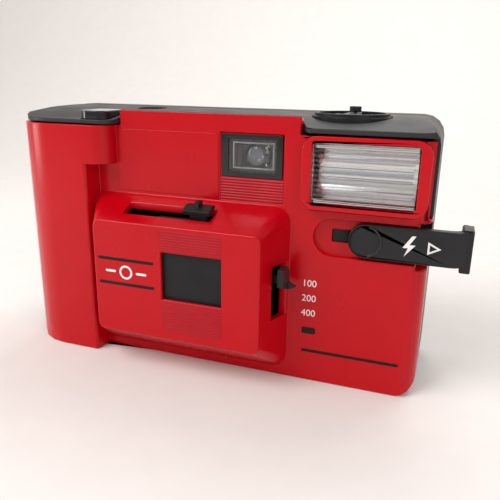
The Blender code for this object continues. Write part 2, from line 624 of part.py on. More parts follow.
def optics():
    """Lens cell, elements, shutter and the film speed slide."""
    cell = rod((AXIS_X, AXIS_Z), 9.0, -9.9, -3.9, "d", 28)
    cell = cut(cell, rod((AXIS_X, AXIS_Z), 6.3, -11.0, -7.4, "d", 24))
    cell = cut(cell, rod((AXIS_X, AXIS_Z), 5.3, -6.9, -2.0, "d", 24))
    cell = cut(cell, rod((AXIS_X, AXIS_Z), 3.6, -8.0, -6.0, "d", 20))
    cell = cut(cell, box(AXIS_X - 6.6, AXIS_X + 6.6, -5.5, -4.2, AXIS_Z - 12, AXIS_Z + 12),
               box(AXIS_X, AXIS_X + 12, -5.5, -4.2, AXIS_Z - 9.5, AXIS_Z + 2.5))
    part("lens_cell", cell, BLACK)
    part("lens_front_element", turned([(0, 2.0), (6.0, 2.0), (6.0, 1.1), (3.2, 0.25), (0, 0)],
                                      (AXIS_X, -9.5, AXIS_Z), "d", 24), GLASS)
    part("lens_rear_element", turned([(0, 0.6), (2.6, 0.7), (5.0, 0.9), (5.0, 0.0), (0, 0)],
                                     (AXIS_X, -6.7, AXIS_Z), "d", 24), GLASS)

    slide = prism(rect(AXIS_X - 6.2, AXIS_X + 6.2, AXIS_Z - 4.6, AXIS_Z + 13.8, 0.8, 2), -5.1, -4.6)
    tail = box(AXIS_X + 5, 26.0, -5.1, -4.6, AXIS_Z - 0.6, AXIS_Z + 2.0)
    slide = union(slide, tail)
    for i, bore in enumerate((2.6, 1.7, 1.1)):
        slide = cut(slide, rod((AXIS_X, AXIS_Z + SPEED_STEP * i), bore, -6, -4, "d", 16))
    knob = prism([Vector(p) for p in [(-9.6, 31.2), (-9.6, 36.2), (-5.2, 36.2), (-3.6, 34.6), (-3.6, 29.6),
                                      (-5.2, 29.6)]], 25.6, 27.4, "x")
    pointer = prism([Vector(p) for p in [(27.0, 31.6), (27.0, 28.9), (29.6, 30.25)]], -4.6, -3.7)
    slide = union(slide, knob)
    slide = union(slide, pointer)
    part("film_speed_slide", slide, BLACK)

    base = prism(rect(-13.5, 17.5, 18.0, 46.0, 1.0, 2), -3.6, -2.5)
    base = cut(base, rod((AXIS_X, AXIS_Z), 3.4, -5, 0, "d", 20))
    stud = rod((-8.0, 24.5), 0.9, -3.0, -1.3, "d", 12)
    base = union(base, stud)
    part("shutter_base", base, STEEL)
    blade = union(rod((-8.0, 24.5), 2.6, -2.2, -1.8, "d", 20),
                  prism(rounded([(-9.6, 22.6, 0.5), (6.6, 27.2, 3.0), (5.4, 36.4, 3.0), (-3.0, 34.6, 2.5),
                                 (-10.2, 26.8, 0.5)], 3), -2.2, -1.8))
    blade = cut(blade, rod((-8.0, 24.5), 1.2, -4, 0, "d", 12))
    part("shutter_blade", blade, BLACK, pivot=(-8.0, -2.0, 24.5))


# ---------------------------------------------------------------- viewfinder

def viewfinder():
    x0, x1, z0, z1 = FINDER
    tube = frustum((9.0, 19.8, 60.3, 68.5), 31.9, (x0 + 0.1, x1 - 0.1, z0 - 0.4, z1 + 0.2), 2.4, 1.0, 0.6, 2)
    core = frustum((10.0, 18.8, 61.3, 67.5), 36.0, (x0 + 1.0, x1 - 1.0, z0 + 0.5, z1 - 0.7), 1.0, 0.8, 0.4, 2)
    tube = cut(tube, core)
    part("viewfinder_tube", tube, BLACK)
    part("viewfinder_window", prism(rect(x0 + 0.3, x1 - 0.3, z0 + 0.3, z1 - 0.3, 0.3, 2), 0.6, 1.9), GLASS)
    part("viewfinder_eyepiece", prism(rect(10.7, 18.1, 61.9, 66.9, 0.6, 2), 29.8, 31.2), GLASS)


# ---------------------------------------------------------------- controls on the top

RELEASE_X = -20.5


def shutter_button():
    x0, x1 = BUTTON_X
    d0, d1 = BUTTON_D
    cap = prism(rect(x0, x1, d0, d1, 3.0), 72.6, 75.2, "z")
    flange = prism(rect(x0 + 0.6, x1 - 1.3, d0 + 0.8, d1 - 0.6, 2.2), 71.0, 72.7, "z")
    stem = rod((-33.4, 2.0), 2.0, 63.6, 71.2, segments=16)
    foot = box(-34.2, -32.6, 2.5, 3.6, 62.4, 64.0)
    cap = union(cap, flange)
    cap = union(cap, stem)
    cap = union(cap, foot)
    part("shutter_button", cap, GLOSS_BLACK, pivot=(-33.4, 2.0, 72.0))
    lever = box(-35.0, RELEASE_X, 2.3, 3.5, 60.5, 61.8)
    lever = union(lever, rod((RELEASE_X, 61.2), 1.8, 2.3, 3.5, "d", 14))
    lever = cut(lever, rod((RELEASE_X, 61.2), 1.0, 1.0, 6.0, "d", 12))
    part("release_lever", lever, STEEL, pivot=(RELEASE_X, 2.9, 61.2))
    part("release_axle", rod((RELEASE_X, 61.2), 0.7, 2.1, 5.0, "d", 10), STEEL)


def rewind():
    """Rewind shaft with its fork, the lifting collar, the knob and the folding crank."""
    x, d = REWIND
    collar = cut(rod(REWIND, 4.2, 66.0, 73.0, segments=20), rod(REWIND, 2.3, 65.0, 74.0, segments=16))
    part("rewind_collar", collar, BLACK, pivot=(x, d, 73.0))
    knob = rod(REWIND, REWIND_R, 73.5, 75.2, segments=32)
    knob = union(knob, rod(REWIND, REWIND_R - 0.4, 75.0, 76.1, segments=32))
    knob = cut(knob, rod(REWIND, REWIND_R - 1.6, 74.6, 77.0, segments=32))
    knob = union(knob, rod(REWIND, 2.0, 56.0, 74.2, segments=16))
    knob = union(knob, box(x - 0.6, x + 0.6, d - 2.6, d + 2.6, 50.5, 56.6))
    hinge_post = box(x - 1.5, x + 1.5, d - 8.6, d - 6.4, 74.3, 75.6)
    knob = union(knob, hinge_post)
    part("rewind_knob", knob, BLACK, pivot=(x, d, 74.0))

    outline = rounded([(x - 1.9, d - 6.2, 0), (x + 1.9, d - 6.2, 0), (x + 1.9, d + 7.4, 1.8),
                       (x - 1.9, d + 7.4, 1.8)], 3)
    arm = prism(outline, 75.0, 75.9, "z")
    arm = union(arm, box(x - 3.4, x + 3.4, d - 6.1, d - 4.9, 74.95, 75.95))
    ears = []
    for side in (-1, 1):
        middle = x + side * 2.9
        ears.append(box(middle - 0.6, middle + 0.6, d - 8.0, d - 4.8, 74.9, 76.0))
    arm = union(arm, *ears)
    grip_spot = (x, d + 5.2)
    arm = cut(arm, rod(grip_spot, 0.75, 74, 77, segments=10))
    part("rewind_crank", arm, BLACK, pivot=(x, d - 7.5, 75.3))
    grip = rod(grip_spot, 1.7, 76.2, 77.6, segments=16)
    grip = union(grip, rod(grip_spot, 0.5, 74.85, 76.4, segments=10))
    part("crank_grip", grip, BLACK, pivot=(*grip_spot, 76.0))


def counter():
    lens = rod(COUNTER, 4.3, 74.0, 75.0, segments=20)
    part("counter_window", lens, CLEAR)
    disc = rod(COUNTER, 5.1, 71.0, 71.8, segments=24)
    disc = union(disc, rod(COUNTER, 1.2, 69.6, 71.2, segments=10))
    part("counter_disc", disc, WHITE, pivot=(*COUNTER, 71.0))


# ---------------------------------------------------------------- film transport

def transport():
    """Thumbwheel, take-up spool, sprocket shaft, idler gear and pressure plate."""
    wheel = rod(SPOOL, WHEEL_R, WHEEL_Z[0], WHEEL_Z[1], segments=44)
    wheel = cut(wheel, rod(SPOOL, 5.4, WHEEL_Z[1] - 1.6, WHEEL_Z[1] + 1, segments=20))
    wheel = union(wheel, rod(SPOOL, 2.4, 58.0, WHEEL_Z[0] + 0.5, segments=16))
    part("advance_wheel", wheel, BLACK, pivot=(*SPOOL, 60.0))
    spool = rod(SPOOL, 5.2, 8.0, 53.6, segments=20)
    for z in (8.0, 52.4):
        spool = union(spool, rod(SPOOL, 8.6, z, z + 1.2, segments=24))
    spool = union(spool, rod(SPOOL, 2.0, 53.0, 57.6, segments=14))
    slit = box(SPOOL[0] - 0.7, SPOOL[0] + 0.7, SPOOL[1] - 7, SPOOL[1] + 7, 20.0, 42.0)
    spool = cut(spool, slit)
    part("take_up_spool", spool, BLACK, pivot=(*SPOOL, 30.0))
    shaft = rod(SPROCKET, 2.3, 8.0, 54.4, segments=16)
    for z in (13.4, 46.2):
        shaft = union(shaft, rod(SPROCKET, 3.6, z, z + 2.8, segments=16))
        for tooth in range(8):
            angle = math.radians(45 * tooth + 11)
            x = SPROCKET[0] + 3.7 * math.cos(angle)
            d = SPROCKET[1] + 3.7 * math.sin(angle)
            shaft = union(shaft, rod((x, d), 0.55, z + 0.8, z + 2.0, segments=6))
    shaft = union(shaft, rod(SPROCKET, 1.4, 54.0, 60.4, segments=12))
    part("sprocket_shaft", shaft, BLACK, pivot=(*SPROCKET, 30.0))
    gear = gear_wheel(SPROCKET, 3.4, 58.3, 59.8, 14)
    gear = cut(gear, rod(SPROCKET, 1.7, 57.0, 61.0, segments=12))
    part("sprocket_gear", gear, WHITE, pivot=(*SPROCKET, 59.0))
    plate = box(AXIS_X - 22.5, AXIS_X + 22.5, FILM_D + 0.3, FILM_D + 1.3, 15.0, 47.4)
    part("pressure_plate", plate, BLACK, pivot=(AXIS_X, FILM_D + 0.8, AXIS_Z))
    leaf = box(AXIS_X - 8, AXIS_X + 8, FILM_D + 1.6, FILM_D + 1.95, 28.0, 34.4)
    part("pressure_spring", leaf, STEEL)


def gear_wheel(centre, radius, z0, z1, teeth):
    """A small spur gear."""
    outline = []
    for i in range(teeth * 2):
        reach = radius + (0.55 if i % 2 == 0 else -0.45)
        for side in (-0.22, 0.22):
            angle = 2 * math.pi * (i + side) / (teeth * 2)
            spoke = Vector((math.cos(angle), math.sin(angle)))
            outline.append(Vector(centre) + reach * spoke)
    return prism(outline, z0, z1, "z")


# ---------------------------------------------------------------- flash and electrics

def flash_unit():
    """Bezel, ribbed diffuser, reflector and tube."""
    frame = prism(rect(*BEZEL, BEZEL_R, 5), BEZEL_D, -GAP)
    frame = cut(frame, prism(rect(FLASH[0], FLASH[1], FLASH[2], FLASH[3], 1.0, 3), BEZEL_D - 1, 1))
    part("flash_bezel", frame, RED)
    part("flash_diffuser", prism(rect(FLASH[0] + 0.3, FLASH[1] - 0.3, FLASH[2] + 0.3, FLASH[3] - 0.3, 0.8, 3),
                                 -2.2, -0.9), CLEAR)
    middle = (FLASH[2] + FLASH[3]) / 2
    reach = (FLASH[3] - FLASH[2]) / 2 - 0.6
    outer = [Vector((-0.5 + 5.3 * math.cos(a), middle + reach * math.sin(a)))
             for a in [math.radians(-90 + 180 * i / 12) for i in range(13)]]
    inner = [Vector((-0.5 + 4.7 * math.cos(a), middle + (reach - 0.6) * math.sin(a)))
             for a in [math.radians(90 - 180 * i / 12) for i in range(13)]]
    dish = prism(outer + inner, FLASH[0] + 0.6, FLASH[1] - 0.6, "x")
    part("flash_reflector", dish, MIRROR)
    part("flash_tube", rod((1.9, middle), 1.4, FLASH[0] + 1.6, FLASH[1] - 1.6, "x", 14), GLASS)


def slider():
    """The black switch slider, with a round thumb pad and a hooked outer end."""
    z = SLIDER_Z
    bar = arc((SLIDER_X[0] + SLIDER_R, z), SLIDER_R, 90, 270, 8)
    bar += [Vector((67.0, z - SLIDER_R)), Vector((67.0, z + SLIDER_R))]
    plate = prism(bar, -1.2, TRACK_DEPTH - GAP)
    end = rounded([(62.5, -1.2, 0), (SLIDER_X[1], -1.2, 4.4), (SLIDER_X[1], 7.6, 1.0), (70.4, 7.6, 0.8),
                   (70.4, TRACK_DEPTH - GAP, 2.4), (62.5, TRACK_DEPTH - GAP, 0)], 5)
    hook = prism(end, z - SLIDER_R, z + SLIDER_R, "z")
    tab = box(47.2, 51.0, 1.0, 2.0, z - 1.5, z + 1.7)
    plate = union(plate, hook)
    plate = union(plate, tab)
    cheek_outline = rect(70.6, SLIDER_X[1] + 0.7, 0.6, 7.2, 0.5, 2)
    cheek = prism(cheek_outline, z - SLIDER_R - 1.6, z + SLIDER_R + 0.4, "z")
    plate = union(plate, cheek)
    dish = rod((SLIDER_X[0] + SLIDER_R, z), SLIDER_R - 0.7, -2.0, -0.8, "d", 24)
    plate = cut(plate, dish)
    part("flash_slider", plate, BLACK)


def electrics():
    """Circuit board, capacitor, transformer, switch contact, cells, contacts and hatch."""
    part("flash_board", box(54.4, 55.6, 3.4, 25.4, 4.0, 40.6), BOARD)
    can = rod((9.2, 63.6), 5.4, -17.8, 4.8, "x", 24)
    part("flash_capacitor", can, SLEEVE)
    part("flash_transformer", box(51.2, 60.0, 6.0, 14.0, 58.5, 67.0), BOARD)
    part("switch_contact", box(52.4, 57.4, 2.6, 3.0, 42.0, 46.5), BRASS)
    for i, (x, d) in enumerate(CELLS):
        low, high = CELL_Z
        cell = turned([(0, high - low), (2.6, high - low), (2.6, high - low - 1.2),
                       (CELL_R - 0.2, high - low - 1.2), (CELL_R - 0.2, 0.0), (0, 0)], (x, d, low), steps=24)
        part(f"battery_{i + 1}", cell, SLEEVE, pivot=(x, d, low))
        contact = rod((x, d), 3.4, high + 0.4, high + 0.9, segments=16)
        part(f"cell_contact_{i + 1}", contact, STEEL)
    hatch = prism(hatch_outline(GAP), 0.05, 1.5, "z")
    pads = [rod(cell, 5.0, 1.4, 2.6, segments=16) for cell in CELLS]
    hatch = union(hatch, *pads)
    part("battery_hatch", hatch, BLACK, pivot=(HATCH[1] - 1.0, 10.0, 0.3))


def build():
    front_cover()
    top_cover()
    main_chassis()
    film_door()
    base_fittings()
    lens_cover()
    optics()
    viewfinder()
    shutter_button()
    rewind()
    counter()
    transport()
    flash_unit()
    slider()
    electrics()


clear_scene()
CAMERA = collection("compact_camera")
WORKSHOP = collection("workshop")
build()
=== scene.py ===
"""Looks of the compact flash camera: finished shells, marks, optics, floor, lights and camera.

Lengths in the details are in millimetres: x to the right, depth behind the main front face and
z above the base. point() turns them into the frame's metres.
"""

import json
import math

import bmesh
import bpy
from mathutils import Matrix, Vector
from mathutils.bvhtree import BVHTree

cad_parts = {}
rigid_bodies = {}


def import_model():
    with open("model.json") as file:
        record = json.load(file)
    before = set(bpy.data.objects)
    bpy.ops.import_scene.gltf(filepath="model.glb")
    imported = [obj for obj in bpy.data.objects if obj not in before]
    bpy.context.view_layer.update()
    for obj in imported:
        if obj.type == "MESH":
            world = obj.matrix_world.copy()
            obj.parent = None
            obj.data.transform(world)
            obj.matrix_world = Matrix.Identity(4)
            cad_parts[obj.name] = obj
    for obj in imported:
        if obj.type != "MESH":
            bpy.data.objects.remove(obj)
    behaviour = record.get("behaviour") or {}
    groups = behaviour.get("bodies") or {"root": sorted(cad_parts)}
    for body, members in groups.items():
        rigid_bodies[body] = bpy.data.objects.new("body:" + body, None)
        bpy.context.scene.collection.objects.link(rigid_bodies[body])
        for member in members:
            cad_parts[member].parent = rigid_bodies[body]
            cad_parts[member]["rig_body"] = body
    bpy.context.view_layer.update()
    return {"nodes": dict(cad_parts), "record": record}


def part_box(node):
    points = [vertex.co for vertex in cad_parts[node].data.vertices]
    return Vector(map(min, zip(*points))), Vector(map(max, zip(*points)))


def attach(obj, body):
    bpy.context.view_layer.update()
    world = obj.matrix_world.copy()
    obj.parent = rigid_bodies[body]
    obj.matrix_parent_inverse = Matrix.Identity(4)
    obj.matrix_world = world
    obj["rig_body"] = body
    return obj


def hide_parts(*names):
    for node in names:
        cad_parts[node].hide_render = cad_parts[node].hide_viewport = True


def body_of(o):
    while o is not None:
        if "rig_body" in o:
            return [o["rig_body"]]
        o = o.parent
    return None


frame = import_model()

MM = 0.001
FLOOR_Z = -0.0001  # in metres, just under the base so that the two faces don't coincide
STRAY = 0.08  # furthest a rounded edge may leave the CAD surface, in mm
MID_DEPTH = 17.0  # depth of the part's origin behind the main front face, in mm

# Depths of the faces that details sit on, behind the main front face, in mm.
FRONT_FACE = 0.0
HOUSING_FACE = -13.0
DOOR_FACE = 34.0

# Panels, each from left to right and from bottom to top, in mm.
FINDER_PANEL = (5.2, 23.7, 51.9, 58.2)
WINDOW_PANEL_LOW = (-7.4, 10.9, 14.6, 23.9)
WINDOW_PANEL_HIGH = (-7.4, 10.9, 38.5, 44.5)
NAME_PANEL = (-27.6, 4.7, 52.2, 70.2)
DOOR_LEATHER = (-52.0, 43.0, 7.0, 49.5)

# Middle of the pictogram on the housing, and of the thumb pad with its ridge's radii, in mm.
LENS_MARK = (-18.7, 30.8)
THUMB = (46.85, 44.2)
THUMB_OUTER = 4.35
THUMB_INNER = 3.85


def point(x, depth, z):
    """A point in metres, from millimetres right, behind the front face and above the base."""
    return Vector((x * MM, (depth - MID_DEPTH) * MM, z * MM))


# ---------------------------------------------------------------- materials


def new_material(name):
    """A material with its node tree and its Principled shader."""
    material = bpy.data.materials.new(name)
    material.use_nodes = True
    tree = material.node_tree
    shader = tree.nodes["Principled BSDF"]
    return material, tree, shader


def noise(tree, scale, detail=3.0, stretch=(1, 1, 1)):
    """Noise in object space, its scale in cells per metre."""
    where = tree.nodes.new("ShaderNodeTexCoord")
    mapping = tree.nodes.new("ShaderNodeMapping")
    mapping.inputs["Scale"].default_value = stretch
    texture = tree.nodes.new("ShaderNodeTexNoise")
    texture.inputs["Scale"].default_value = scale
    texture.inputs["Detail"].default_value = detail
    tree.links.new(where.outputs["Object"], mapping.inputs["Vector"])
    tree.links.new(mapping.outputs["Vector"], texture.inputs["Vector"])
    return texture.outputs["Fac"]


def ranged(tree, value, low, high, start=0.3, end=0.7):
    """Maps start..end of a value to low..high."""
    node = tree.nodes.new("ShaderNodeMapRange")
    node.inputs["From Min"].default_value = start
    node.inputs["From Max"].default_value = end
    node.inputs["To Min"].default_value = low
    node.inputs["To Max"].default_value = high
    tree.links.new(value, node.inputs["Value"])
    return node.outputs["Result"]


def blended(tree, factor, first, second):
    """A colour between two, by a factor."""
    node = tree.nodes.new("ShaderNodeMix")
    node.data_type = "RGBA"
    node.inputs["A"].default_value = (*first, 1)
    node.inputs["B"].default_value = (*second, 1)
    tree.links.new(factor, node.inputs["Factor"])
    return node.outputs["Result"]


def bumped(tree, shader, height, distance, strength=1.0):
    """Bump on the shader from a height, with its depth in metres."""
    node = tree.nodes.new("ShaderNodeBump")
    node.inputs["Distance"].default_value = distance
    node.inputs["Strength"].default_value = strength
    tree.links.new(height, node.inputs["Height"])
    tree.links.new(node.outputs["Normal"], shader.inputs["Normal"])


def plastic(name, colour, shade, roughness, grain=0.00002, grain_scale=3500, coat=0.0):
    """Moulded plastic: mottled colour, uneven gloss with faint rubbed streaks, and a fine grain."""
    material, tree, shader = new_material(name)
    mottle = ranged(tree, noise(tree, 90, 4), 0, 1)
    tree.links.new(blended(tree, mottle, colour, shade), shader.inputs["Base Color"])
    rubbed = noise(tree, 160, 5, (1, 1, 0.4))
    gloss = ranged(tree, rubbed, roughness * 0.88, roughness * 1.15)
    tree.links.new(gloss, shader.inputs["Roughness"])
    bumped(tree, shader, noise(tree, grain_scale, 2), grain, 0.35)
    shader.inputs["Specular IOR Level"].default_value = 0.22
    shader.inputs["Coat Weight"].default_value = coat
    shader.inputs["Coat Roughness"].default_value = 0.08
    return material


def metal(name, colour, shade, roughness, brush=(1, 1, 12)):
    """Metal with brushed streaks."""
    material, tree, shader = new_material(name)
    streaks = noise(tree, 900, 4, brush)
    tree.links.new(blended(tree, streaks, colour, shade), shader.inputs["Base Color"])
    gloss = ranged(tree, streaks, roughness * 0.7, roughness * 1.4)
    tree.links.new(gloss, shader.inputs["Roughness"])
    bumped(tree, shader, streaks, 0.00001, 0.4)
    shader.inputs["Metallic"].default_value = 1.0
    return material


def glass(name, tint, roughness, ior, ripple=0.000002):
    """Clear moulded plastic or glass with a slight ripple."""
    material, tree, shader = new_material(name)
    wave = noise(tree, 260, 2)
    shader.inputs["Base Color"].default_value = (*tint, 1)
    tree.links.new(ranged(tree, wave, roughness, roughness * 2 + 0.01), shader.inputs["Roughness"])
    bumped(tree, shader, wave, ripple, 0.3)
    shader.inputs["Transmission Weight"].default_value = 1.0
    shader.inputs["IOR"].default_value = ior
    return material


RED = plastic("red_plastic", (0.47, 0.0005, 0.006), (0.44, 0.0004, 0.005), 0.24, 0.000004, 1800, 0.06)
RED_RIB = plastic("red_ribbed", (0.40, 0.006, 0.014), (0.36, 0.004, 0.010), 0.42)
GREY = plastic("grey_black_satin", (0.030, 0.030, 0.033), (0.024, 0.024, 0.026), 0.40, 0.00003, 2600)
BLACK = plastic("black_satin", (0.014, 0.014, 0.015), (0.009, 0.009, 0.010), 0.38, 0.00005, 2200)
GLOSS = plastic("black_gloss", (0.008, 0.008, 0.009), (0.005, 0.005, 0.006), 0.12, coat=0.5)
SATIN = plastic("black_slider", (0.020, 0.020, 0.021), (0.014, 0.014, 0.015), 0.33, 0.00003, 3000)
LEATHER = plastic("leather_grain", (0.012, 0.012, 0.013), (0.007, 0.007, 0.008), 0.55, 0.00025, 900)
INK_WHITE = plastic("white_print", (0.80, 0.79, 0.77), (0.70, 0.69, 0.67), 0.5)
INK_DARK = plastic("dark_print", (0.018, 0.006, 0.006), (0.010, 0.004, 0.004), 0.4)
WHITE = plastic("white_plastic", (0.72, 0.71, 0.68), (0.62, 0.61, 0.58), 0.4)
BOARD = plastic("circuit_board", (0.05, 0.16, 0.05), (0.03, 0.10, 0.03), 0.45)
SLEEVE = plastic("cell_sleeve", (0.05, 0.07, 0.16), (0.03, 0.05, 0.12), 0.3)
STEEL = metal("steel", (0.62, 0.62, 0.63), (0.48, 0.48, 0.50), 0.28)
BRASS = metal("brass", (0.70, 0.53, 0.26), (0.55, 0.40, 0.18), 0.3)
MIRROR = metal("bright_reflector", (0.93, 0.93, 0.92), (0.82, 0.82, 0.82), 0.16, (8, 1, 1))
CLEAR = glass("clear_window", (0.96, 0.97, 0.98), 0.01, 1.46)
LINES = plastic("finder_lines", (0.45, 0.45, 0.42), (0.36, 0.36, 0.34), 0.3)
# The finder cell's light grey is painted sheen: it stands in for light seen in the finder glass. Its
# gloss coat adds real reflections.
FINDER_PAINTED_SHEEN = plastic("finder_painted_sheen", (0.20, 0.21, 0.22), (0.10, 0.105, 0.11), 0.12, coat=1.0)
LENS = glass("coated_lens", (0.90, 0.93, 1.0), 0.0, 1.52)
SMOKED = glass("smoked_window", (0.06, 0.06, 0.065), 0.02, 1.46)
DIFFUSER = glass("flash_diffuser", (0.98, 0.98, 0.97), 0.05, 1.46)

# The finish of every CAD node, by the record's material slots.
SLOT_FINISH = {
    "red_shell": RED,
    "grey_cap": GREY,
    "black_shell": BLACK,
    "gloss_black": GLOSS,
    "clear_plastic": CLEAR,
    "lens_glass": LENS,
    "reflector": MIRROR,
    "steel": STEEL,
    "brass": BRASS,
    "white_plastic": WHITE,
    "board": BOARD,
    "sleeve": SLEEVE,
}


# ---------------------------------------------------------------- pieces


def closed_mesh(form, name):
    """The mesh of a bmesh form, with its faces turned outwards."""
    bmesh.ops.recalc_face_normals(form, faces=form.faces)
    mesh = bpy.data.meshes.new(name)
    form.to_mesh(mesh)
    form.free()
    return mesh


def smooth(mesh):
    """Shades every face of a mesh smooth."""
    for face in mesh.polygons:
        face.use_smooth = True


def even_shading(piece):
    """Lets a piece's large faces decide how its edges are shaded."""
    shading = piece.modifiers.new("shading", "WEIGHTED_NORMAL")
    shading.keep_sharp = False


def link(name, mesh, material, body):
    """A new piece from a mesh, riding on a body."""
    mesh.materials.clear()
    mesh.materials.append(material)
    piece = bpy.data.objects.new(name, mesh)
    bpy.context.scene.collection.objects.link(piece)
    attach(piece, body)
    return piece


def rounded_edges(piece, width, angle=32, segments=3):
    """Rounds the piece's sharp edges and shades it smooth."""
    smooth(piece.data)
    bevel = piece.modifiers.new("edges", "BEVEL")
    bevel.width = width * MM
    bevel.segments = segments
    bevel.limit_method = "ANGLE"
    bevel.angle_limit = math.radians(angle)
    bevel.use_clamp_overlap = False
    bevel.miter_outer = "MITER_ARC"
    even_shading(piece)
    return piece


def settled(piece, source):
    """Applies the piece's modifiers and brings every stray corner back to the CAD surface."""
    bpy.context.view_layer.update()
    graph = bpy.context.evaluated_depsgraph_get()
    mesh = bpy.data.meshes.new_from_object(piece.evaluated_get(graph), depsgraph=graph)
    vertices = [v.co for v in source.data.vertices]
    surface = BVHTree.FromPolygons(vertices, [tuple(p.vertices) for p in source.data.polygons])
    for vertex in mesh.vertices:
        near, _, _, gap = surface.find_nearest(vertex.co)
        if gap > STRAY * MM:
            vertex.co = near
    piece.modifiers.clear()
    piece.data = mesh
    even_shading(piece)
    return piece


def finished(node, material, width=0.22, angle=32):
    """The finished form of a CAD node: its faces joined, its edges rounded, its shading smooth."""
    source = frame["nodes"][node]
    mesh = bpy.data.meshes.new(node + "_skin")
    vertices = [v.co.copy() for v in source.data.vertices]
    mesh.from_pydata(vertices, [], [tuple(p.vertices) for p in source.data.polygons])
    form = bmesh.new()
    form.from_mesh(mesh)
    bmesh.ops.remove_doubles(form, verts=form.verts, dist=2e-5)
    flat = math.radians(0.02)
    bmesh.ops.dissolve_limit(form, angle_limit=flat, verts=form.verts, edges=form.edges)
    form.to_mesh(mesh)
    form.free()
    piece = link(node + "_skin", mesh, material, body_of(source)[0])
    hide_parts(node)
    return settled(rounded_edges(piece, width, angle), source)



# CAD nodes that are seen closely: their finish and the radius of their edges in mm.
SKINS = {
    "front_cover": (RED, 0.3),
    "flash_bezel": (RED, 0.3),
    "top_cover": (GREY, 0.3),
    "film_door": (BLACK, 0.25),
    "main_chassis": (BLACK, 0.2),
    "lens_cover": (BLACK, 0.15),
    "film_speed_slide": (SATIN, 0.2),
    "shutter_button": (GLOSS, 0.35),
    "rewind_knob": (BLACK, 0.2),
    "rewind_crank": (SATIN, 0.15),
    "crank_grip": (SATIN, 0.2),
    "advance_wheel": (BLACK, 0.15),
    "flash_slider": (SATIN, 0.4),
    "door_latch": (SATIN, 0.2),
    "battery_hatch": (BLACK, 0.2),
    "viewfinder_tube": (BLACK, 0.15),
    "shutter_base": (BLACK, 0.1),
    "lens_cell": (SATIN, 0.1),
    "take_up_spool": (BLACK, 0.15),
    "rewind_collar": (BLACK, 0.15),
    "tripod_bush": (BRASS, 0.1),
    "base_screw_1": (STEEL, 0.1),
    "base_screw_2": (STEEL, 0.1),
    "base_screw_3": (STEEL, 0.1),
}


# CAD nodes that keep their form and take a finish other than their slot's.
OWN_FINISH = {"counter_window": SMOKED}


def node_slots():
    """The material slot of each CAD node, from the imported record."""
    return {part["node"]: part["material_slot"] for part in frame["record"]["subparts"]}


def dress_nodes():
    """Gives every CAD node its finish, and a finished form to the ones seen closely."""
    for node, slot in node_slots().items():
        if node in SKINS:
            finish, width = SKINS[node]
            finished(node, finish, width)
            continue
        cad = frame["nodes"][node]
        cad.data.materials.clear()
        cad.data.materials.append(OWN_FINISH.get(node, SLOT_FINISH[slot]))


def solid(name, outline, low, high, material, body="case", edge=0.05):
    """A plate whose outline is in x and z and whose faces lie at two depths, all in mm."""
    form = bmesh.new()
    back = [form.verts.new(point(u, high, v)) for u, v in outline]
    front = [form.verts.new(point(u, low, v)) for u, v in outline]
    form.faces.new(back)
    form.faces.new(list(reversed(front)))
    count = len(outline)
    for i in range(count):
        j = (i + 1) % count
        form.faces.new((front[i], front[j], back[j], back[i]))
    mesh = closed_mesh(form, name)
    piece = link(name, mesh, material, body)
    if edge:
        rounded_edges(piece, edge, 40, 2)
    return piece


def rounded_rect(u0, u1, v0, v1, radius, steps=6):
    """Outline of a rectangle with round corners."""
    outline = []
    centres = [(u1 - radius, v1 - radius), (u0 + radius, v1 - radius), (u0 + radius, v0 + radius),
               (u1 - radius, v0 + radius)]
    for i, (u, v) in enumerate(centres):
        for k in range(steps + 1):
            turn = math.radians(90 * i + 90 * k / steps)
            outline.append((u + radius * math.cos(turn), v + radius * math.sin(turn)))
    return outline


def circle(u, v, radius, steps=24):
    """Outline of a circle."""
    turns = [k / steps * math.tau for k in range(steps)]
    return [(u + radius * math.cos(turn), v + radius * math.sin(turn)) for turn in turns]


def ribbed_panel(name, bounds, face, pitch, height, material, body="case"):
    """A panel of fine horizontal ridges that stands on a face."""
    x0, x1, z0, z1 = bounds
    count = round((z1 - z0) / pitch)
    pitch = (z1 - z0) / count
    section = [(face + 0.25, z0)]
    for i in range(count):
        base = z0 + i * pitch
        crest = [(face - height, base + share * pitch) for share in (0.35, 0.65)]
        section += [(face, base), *crest]
    section += [(face, z1), (face + 0.25, z1)]
    form = bmesh.new()
    left = [form.verts.new(point(x0, d, z)) for d, z in section]
    right = [form.verts.new(point(x1, d, z)) for d, z in section]
    for i in range(len(section)):
        j = (i + 1) % len(section)
        form.faces.new((left[i], left[j], right[j], right[i]))
    form.faces.new(list(reversed(left)))
    form.faces.new(right)
    mesh = closed_mesh(form, name)
    return link(name, mesh, material, body)


def number(name, words, x, z, height, depth, material, body="case"):
    """Generic numerals printed on a front face, x and z at their lower left corner."""
    curve = bpy.data.curves.new(name, "FONT")
    curve.body = words
    curve.size = height / 0.70 * MM
    curve.extrude = 0.02 * MM
    curve.materials.append(material)
    piece = bpy.data.objects.new(name, curve)
    piece.location = point(x, depth - 0.02, z)
    piece.rotation_euler = (math.radians(90), 0, 0)
    bpy.context.scene.collection.objects.link(piece)
    bpy.context.view_layer.update()
    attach(piece, body)
    return piece


def bar(name, x0, x1, z, thickness, face, material):
    """A printed line with round ends."""
    half = thickness / 2
    outline = rounded_rect(x0, x1, z - half, z + half, half * 0.98, 3)
    return solid(name, outline, face - 0.05, face + 0.2, material, edge=0)


